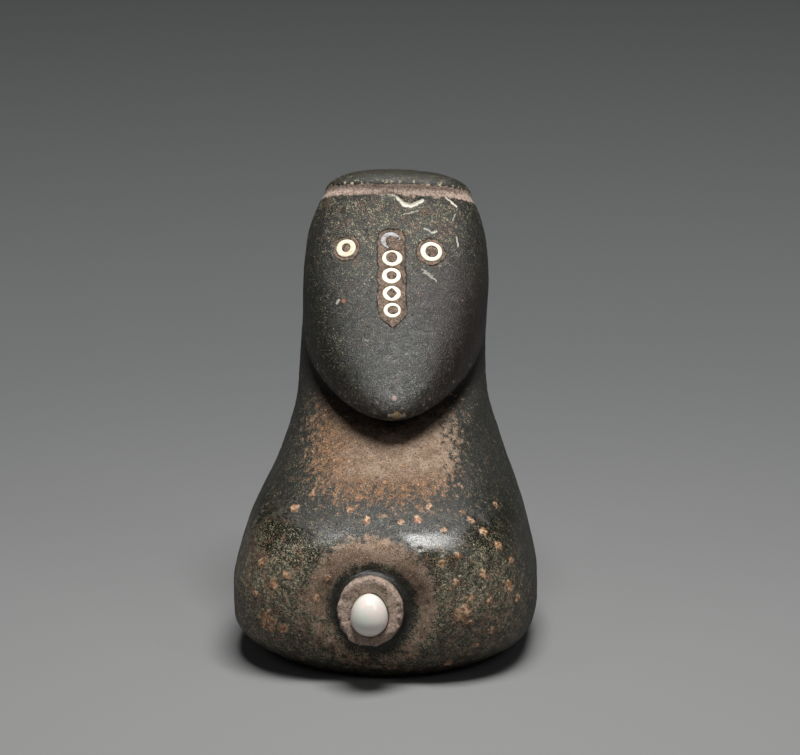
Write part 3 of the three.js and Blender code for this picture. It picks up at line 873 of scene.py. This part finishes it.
def stone_material():
    s = Shader("stone")
    at = s.coordinates()
    bent = s.bend(at, 2.5, 1.4)
    wash, shine, fleck, under_bill_shade = (s.value(name) for name in ("wash", "shine", "fleck", "under_bill_shade"))

    level = s.ease(fleck, 0.0, 1.0, 0.74, 0.6)
    level = s.math("ADD", level, s.ease(s.noise(at, 2.2, 4, 0.6), 0.35, 0.65, 0.025, -0.025))
    felt = needles(s, bent, 0.5, 0.15, level)
    ragged = s.math("ADD", wash, s.ease(s.noise(at, 1.5, 6, 0.8), 0.25, 0.75, -0.5, 0.5))
    covered = s.ease(ragged, 0.36, 0.56)
    colour = s.mix(covered, dark_stone(s, at, felt), worn_skin(s, at, bent))

    pink = s.mix(s.ease(s.noise(at, 0.5, 4, 0.7), 0.35, 0.6), srgb(118, 96, 84), srgb(190, 170, 156))
    colour = s.mix(s.math("MULTIPLY", s.value("boss"), 0.7), colour, pink)
    colour = s.mix(s.math("MULTIPLY", s.value("groove"), 0.9), colour, pink)
    # Dark stone and painted shade in the ring round the boss's foot.
    torn = s.ease(s.noise(at, 0.6, 4, 0.7), 0.35, 0.6, 0.55, 0.95)
    colour = s.mix(s.math("MULTIPLY", s.value("ditch_stain_and_shade"), torn), colour, srgb(18, 18, 13))
    # Painted shadow of the bill: near-black brown laid over the throat and upper chest.
    colour = s.mix(s.math("MULTIPLY", under_bill_shade, 0.85), colour, srgb(20, 15, 11))

    worn = s.ease(wash, 0.1, 0.4, 0.0, 0.8)
    blotch = s.math("MULTIPLY", s.ease(s.noise(at, 1.5, 4, 0.65), 0.63, 0.68), worn)
    chips = s.math("MULTIPLY", s.ease(s.noise(at, 1.1, 4, 0.7), 0.56, 0.62), s.value("lip"))
    rusty = s.mix(s.ease(s.noise(at, 0.6, 3), 0.42, 0.6), srgb(140, 92, 56), srgb(216, 178, 142))
    crust = s.math("MULTIPLY", s.value("crust"), s.ease(s.noise(at, 0.35, 4, 0.7), 0.36, 0.52, 0.25, 0.95))
    colour = s.mix(s.math("MAXIMUM", crust, blotch), colour, rusty)
    colour = marked(s, at, s.mix(chips, colour, srgb(196, 182, 152)))

    rough = s.ease(shine, 0.0, 1.0, 0.8, 0.25)
    rough = s.math("ADD", rough, s.math("MULTIPLY", covered, 0.2))
    strokes = s.noise(s.stretched(bent, (0.5, 0.9, 0.5), 0.7, 0.2), 1, 2)
    strokes = s.math("ADD", strokes, s.noise(s.stretched(bent, (1.2, 0.3, 2.4), 0.6, 0.18), 1, 2))
    crumbs = s.math("MULTIPLY", s.noise(at, 0.5, 4, 0.7), s.math("ADD", s.value("boss"), 0.12))
    calm = s.ease(shine, 0.75, 0.95, 1.5, 0.45)
    height = s.math("ADD", s.math("MULTIPLY", felt, 0.3), s.math("MULTIPLY", strokes, calm))
    height = s.math("ADD", height, s.math("MULTIPLY", crumbs, 3.0))
    bump = s.node("ShaderNodeBump", {"Height": height, "Strength": 1.0, "Distance": 0.08 * MM}).outputs[0]
    return s.finish(Base_Color=colour, Roughness=rough, Normal=bump, IOR=1.55)


def shell_material(name, tone, dull, rough):
    """Shell, cream to white, with faint growth lines."""
    s = Shader(name)
    at = s.coordinates()
    lines = s.noise(s.stretched(at, (0.4, 0.2, 0.3), 3, 0.35), 1, 3, 0.6)
    colour = s.mix(s.ease(lines, 0.35, 0.65), srgb(*tone), srgb(*dull))
    stain = s.ease(s.noise(at, 0.9, 4, 0.65), 0.58, 0.72, 0.0, 0.5)
    colour = s.mix(stain, colour, srgb(190, 160, 118))
    height = s.noise(at, 0.3, 4, 0.6)
    bump = s.node("ShaderNodeBump", {"Height": height, "Strength": 0.3, "Distance": 0.04 * MM}).outputs[0]
    roughness = s.ease(lines, 0.3, 0.7, rough - 0.06, rough + 0.08)
    return s.finish(Base_Color=colour, Roughness=roughness, Normal=bump, Subsurface_Weight=0.15,
                    Subsurface_Scale=0.4 * MM)


def mastic_material():
    """Brown and crumbly, with pale grains and dark pores."""
    s = Shader("mastic")
    at = s.coordinates()
    colour = s.mix(s.ease(s.noise(at, 1.1, 4, 0.7), 0.35, 0.62), srgb(62, 50, 41), srgb(134, 112, 95))
    pores = needles(s, at, 0.5, 0.16, 0.62)
    colour = s.mix(s.math("MULTIPLY", pores, 0.75), colour, srgb(34, 29, 22))
    grains = s.ease(s.noise(at, 0.25, 2), 0.6, 0.68, 0.0, 0.6)
    colour = s.mix(grains, colour, srgb(190, 168, 146))
    height = s.noise(at, 0.3, 4, 0.65)
    bump = s.node("ShaderNodeBump", {"Height": height, "Strength": 0.9, "Distance": 0.12 * MM}).outputs[0]
    return s.finish(Base_Color=colour, Roughness=0.85, Normal=bump)


def pearl_material():
    """Silvery nacre, in faint clouds of green and pink."""
    s = Shader("pearl")
    at = s.coordinates()
    cloud = s.ease(s.noise(at, 3.5, 2), 0.35, 0.65)
    colour = s.mix(cloud, srgb(222, 225, 212), srgb(232, 220, 212))
    height = s.noise(at, 1.6, 2)
    bump = s.node("ShaderNodeBump", {"Height": height, "Strength": 0.15, "Distance": 0.05 * MM}).outputs[0]
    return s.finish(Base_Color=colour, Roughness=0.28, Normal=bump, Subsurface_Weight=0.3,
                    Subsurface_Scale=1.2 * MM, Coat_Weight=1.0, Coat_Roughness=0.1, IOR=1.6)


# The inlay

HOLES = {
    # share of the bead's width and height, its place across and up in mm, how pointed it is (2 is an oval)
    # and how worn the bead is
    "eye_bead_left": dict(wide=0.44, high=0.46, at=(0.0, 0.1), square=2, wear=0.3),
    "eye_bead_right": dict(wide=0.57, high=0.58, at=(0.13, 0.05), square=2, wear=0.2),
    "bill_bead_1": dict(wide=0.5, high=0.5, at=(0.15, 0), square=2, wear=0.9),
    "bill_bead_2": dict(wide=0.54, high=0.62, at=(-0.12, 0.2), square=2, wear=0.3),
    "bill_bead_3": dict(wide=0.51, high=0.5, at=(0.08, 0.1), square=2, wear=0.3),
    "bill_bead_4": dict(wide=0.55, high=0.65, at=(0, 0.06), square=1.15, wear=0.3),
    "bill_bead_5": dict(wide=0.61, high=0.54, at=(0.18, 0.05), square=2, wear=0.2),
}
BEAD = {"sides": 96, "grow": 1.01, "outer": 0.24, "bore": 0.18, "steps": 6, "wear": 0.05}


def hole_edge(hole, seat, angle):
    """The hole's edge across and up, in mm."""
    square = hole["square"]
    cos, sin = np.cos(angle), np.sin(angle)
    reach = (np.abs(cos) ** square + np.abs(sin) ** square) ** (-1 / square)
    across = cos * reach * hole["wide"] * seat.wide / 2 + hole["at"][0]
    up = sin * reach * hole["high"] * seat.high / 2 + hole["at"][1]
    return np.stack([across, up], axis=1)


def bead_section(width, thick):
    """A ring's section from its outer foot over the top and down the hole: share of the width and drop."""
    path = [(0, -thick)]
    for step in range(BEAD["steps"] + 1):
        turn = math.pi / 2 * step / BEAD["steps"]
        path.append((BEAD["outer"] / width * (1 - math.cos(turn)), -BEAD["outer"] * (1 - math.sin(turn))))
    for step in range(BEAD["steps"] + 1):
        turn = math.pi / 2 * step / BEAD["steps"]
        path.append((1 - BEAD["bore"] / width * (1 - math.sin(turn)), -BEAD["bore"] * (1 - math.cos(turn))))
    return [*path, (1, -thick)]


def bead_piece(name, seat, hole):
    """A flat ring with worn edges."""
    sides = BEAD["sides"]
    angle = np.linspace(0, 2 * np.pi, sides, endpoint=False)
    seed = 20 + list(HOLES).index(name)
    outer = np.stack([np.cos(angle) * seat.wide / 2, np.sin(angle) * seat.high / 2], axis=1)
    wave = noise(np.stack([np.cos(angle), np.sin(angle), np.zeros(sides)], axis=1) * 3, 1.6, seed, 2)
    outer = outer * (BEAD["grow"] + 0.025 * wave)[:, None]
    inner = hole_edge(hole, seat, angle)
    rows = []
    for share, drop in bead_section((1 - hole["wide"]) * seat.wide / 2, seat.thick):
        flat = outer + (inner - outer) * share
        rows.append(seat.place(flat[:, 0], flat[:, 1], np.full(sides, drop)))
    points = np.concatenate(rows)
    shallow = (points - seat.origin) @ seat.out > -seat.thick / 2
    worn = BEAD["wear"] * (1 + hole["wear"] * (1 + 2 * noise(points, 0.8, seed, 2)))
    points = points - seat.out * (worn * shallow)[:, None]
    index = np.arange(len(points)).reshape(len(rows), sides)
    right = np.roll(index, -1, axis=1)
    faces = np.stack([index, right, np.roll(right, -1, axis=0), np.roll(index, -1, axis=0)], axis=2)
    return new_mesh(f"{name}_ring", points, faces.reshape(-1, 4))


def bead_room(name, points):
    """Distance to a bead's body, for the mastic to stay out of. It may lie over the worn one."""
    seat, hole = SEATS[name], HOLES[name]
    across, up, lift = seat.local(points)
    outer = (np.hypot(across / seat.wide, up / seat.high) - 0.5) * min(seat.wide, seat.high)
    square = hole["square"]
    a = np.abs(across - hole["at"][0]) / (hole["wide"] * seat.wide / 2)
    b = np.abs(up - hole["at"][1]) / (hole["high"] * seat.high / 2)
    inner = ((a**square + b**square) ** (1 / square) - 1) * hole["high"] * seat.high / 2
    room = np.maximum(np.maximum(outer, -inner), -lift - seat.thick - 0.05)
    return np.maximum(room, lift + 0.1) if name == "bill_bead_1" else room


def smear(points):
    """How much mastic lies over the lower right of the worn bead."""
    seat = SEATS["bill_bead_1"]
    return fade(np.linalg.norm(points - seat.place(0.9, -0.5, 0), axis=1), 2.5, 1.3)


def mastic_piece(name, blank, pocket, low, high, beads):
    """The bed that fills a pocket, about level with the stone, with its beads' room left out."""
    voxel = BED["voxel"]
    shape = np.ceil((high - low) / voxel).astype(int)
    field = Field(low, voxel, np.zeros(shape, np.float32))
    part, grid = field.points(low, high - voxel)
    points = grid.reshape(-1, 3)
    level = blank.at(points) + BED["level"] + 0.12 * noise(points, 0.8, 12, 3) - 0.24 * smear(points)
    value = smooth_max(pocket(points, -BED["spread"]), level, 0.15)
    for bead in beads:
        value = np.maximum(value, -bead_room(bead, points))
    field.values = np.full(shape, 3.0, np.float32)
    field.values[part] = value.reshape(grid.shape[:3])
    return new_mesh(name, *field.mesh())


def pearl_piece():
    """An egg, standing with its narrow end up."""
    rows, columns = 64, 96
    angle = np.linspace(0, np.pi, rows + 1)[1:-1]
    turn = np.linspace(0, 2 * np.pi, columns, endpoint=False)
    radius = PEARL["radius"] * np.sin(angle) * (1 - PEARL["narrow"] * (angle / np.pi) ** 2)
    reach = np.where(angle < np.pi / 2, PEARL["below"], PEARL["above"])
    x = radius[:, None] * np.cos(turn)
    y = radius[:, None] * np.sin(turn)
    z = np.broadcast_to((-reach * np.cos(angle))[:, None], x.shape)
    points = np.stack([x, y, z], axis=-1).reshape(-1, 3)
    points = np.vstack([points, [0, 0, -PEARL["below"]], [0, 0, PEARL["above"]]])
    points *= (0.99 + 0.006 * noise(points, 3, 13, 2))[:, None]
    index = np.arange((rows - 1) * columns).reshape(rows - 1, columns)
    right = np.roll(index, -1, axis=1)
    faces = np.stack([index[:-1], right[:-1], right[1:], index[1:]], axis=2).reshape(-1, 4).tolist()
    bottom, top = len(points) - 2, len(points) - 1
    faces += [(b, a, bottom) for a, b in zip(index[0], right[0])]
    faces += [(a, b, top) for a, b in zip(index[-1], right[-1])]
    return new_mesh("pearl_inset", points + pearl_middle(), faces)


def settle(piece, slot, material, *nodes):
    """Gives a piece its material and its body, and hides the CAD nodes it stands for; slot is not used."""
    piece.data.materials.clear()
    piece.data.materials.append(material)
    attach(piece, "root")
    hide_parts(*nodes)


def bed_box(node):
    low, high = (np.array(corner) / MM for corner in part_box(node))
    return low - 1, high + 1


def add_inlay(blank):
    shell = shell_material("shell", (236, 228, 206), (214, 200, 172), 0.35)
    worn = shell_material("worn_shell", (168, 168, 170), (128, 120, 116), 0.45)
    for name, seat in SEATS.items():
        piece = bead_piece(name, seat, HOLES[name])
        if name == "bill_bead_1":
            settle(piece, "worn_shell", worn, name)
        else:
            settle(piece, "shell", shell, name)
    mastic = mastic_material()
    for side in ("left", "right"):
        bead = f"eye_bead_{side}"
        node = f"eye_mastic_{side}"
        pocket = partial(eye_pocket, SEATS[bead])
        settle(mastic_piece(f"{node}_bed", blank, pocket, *bed_box(node), [bead]), "mastic", mastic, node)
    node = "bill_channel_mastic"
    bed = mastic_piece(f"{node}_bed", blank, channel_pocket, *bed_box(node), BILL_BEADS)
    settle(bed, "mastic", mastic, node)
    settle(pearl_piece(), "pearl", pearl_material(), "pearl")


# The studio

# Half the paper's side, and the middle and reach of its paler part, a painted pool of light, in mm
FLOOR = {"half": 4000, "middle": (0, -80, 0), "reach": 350}


def floor_material():
    s = Shader("studio_paper")
    at = s.coordinates()
    away = s.node("ShaderNodeVectorMath", {0: at, 1: FLOOR["middle"]}, operation="DISTANCE").outputs["Value"]
    # Painted pool of light: the paper is paler near the figure and darker further out.
    colour = s.mix(s.ease(away, 0, FLOOR["reach"]), srgb(122, 122, 121), srgb(102, 103, 103))
    grain = s.noise(at, 1.2, 3)
    bump = s.node("ShaderNodeBump", {"Height": grain, "Strength": 0.1, "Distance": 0.1 * MM}).outputs[0]
    return s.finish(Base_Color=colour, Roughness=0.9, Normal=bump)


def add_floor():
    """A wide flat sheet of paper, which hides the figure from no side."""
    half = FLOOR["half"]
    points = np.array([(-half, -half, 0), (half, -half, 0), (half, half, 0), (-half, half, 0)], float)
    floor = new_mesh("studio_floor", points, [(0, 1, 2, 3)])
    floor.data.materials.append(floor_material())


CENTRE = np.array([3.26, 0, 60.4])
LIGHTS = [
    # elevation and azimuth in degrees (0 is towards the camera, and more is to its right), and the
    # distance and size in mm
    dict(name="overhead", elevation=78, azimuth=16, away=800, size=(430, 300), watts=11.6),
    dict(name="left_card", elevation=38, azimuth=-62, away=1000, size=(220, 380), watts=0.4),
    dict(name="right_card", elevation=38, azimuth=52, away=1000, size=(220, 380), watts=0.6),
]


def add_lights():
    for lamp in LIGHTS:
        data = bpy.data.lights.new(lamp["name"], "AREA")
        data.shape = "RECTANGLE"
        data.size, data.size_y = (side * MM for side in lamp["size"])
        data.energy = lamp["watts"]
        elevation, azimuth = math.radians(lamp["elevation"]), math.radians(lamp["azimuth"])
        flat = math.cos(elevation)
        away = Vector((math.sin(azimuth) * flat, -math.cos(azimuth) * flat, math.sin(elevation)))
        light = bpy.data.objects.new(lamp["name"], data)
        light.location = (Vector(CENTRE) + away * lamp["away"]) * MM
        light.rotation_euler = away.to_track_quat("Z", "Y").to_euler()
        bpy.context.scene.collection.objects.link(light)
    world = bpy.data.worlds.new("studio")
    world.use_nodes = True
    world.node_tree.nodes["Background"].inputs["Color"].default_value = (0.02, 0.021, 0.022, 1)
    bpy.context.scene.world = world


VIEW = {"elevation": 16, "away": 1100, "width": 800, "height": 755, "pixels_a_mm": 4.45, "sensor": 36}


def add_camera():
    """The photograph's view: a long lens a little above the figure."""
    data = bpy.data.cameras.new("camera")
    data.sensor_width = VIEW["sensor"]
    data.lens = VIEW["sensor"] * VIEW["pixels_a_mm"] * VIEW["away"] / VIEW["width"]
    elevation = math.radians(VIEW["elevation"])
    camera = bpy.data.objects.new("camera", data)
    away = Vector((0, -math.cos(elevation), math.sin(elevation))) * VIEW["away"]
    camera.location = (Vector(CENTRE) + away) * MM
    camera.rotation_euler = (math.pi / 2 - elevation, 0, 0)
    bpy.context.scene.collection.objects.link(camera)
    bpy.context.scene.camera = camera
    bpy.context.scene.view_settings.view_transform = "Standard"


def main():
    add_camera()
    add_lights()
    add_floor()
    loft = loft_mesh()
    field = blank_field(*loft[:3])
    field.soften(1)
    blank = Field(field.origin, field.voxel, field.values.copy())
    carve_boss(field)
    carve_pockets(field)
    settle(stone_piece(field, loft), "stone", stone_material(), "stone_body")
    add_inlay(blank)


main()
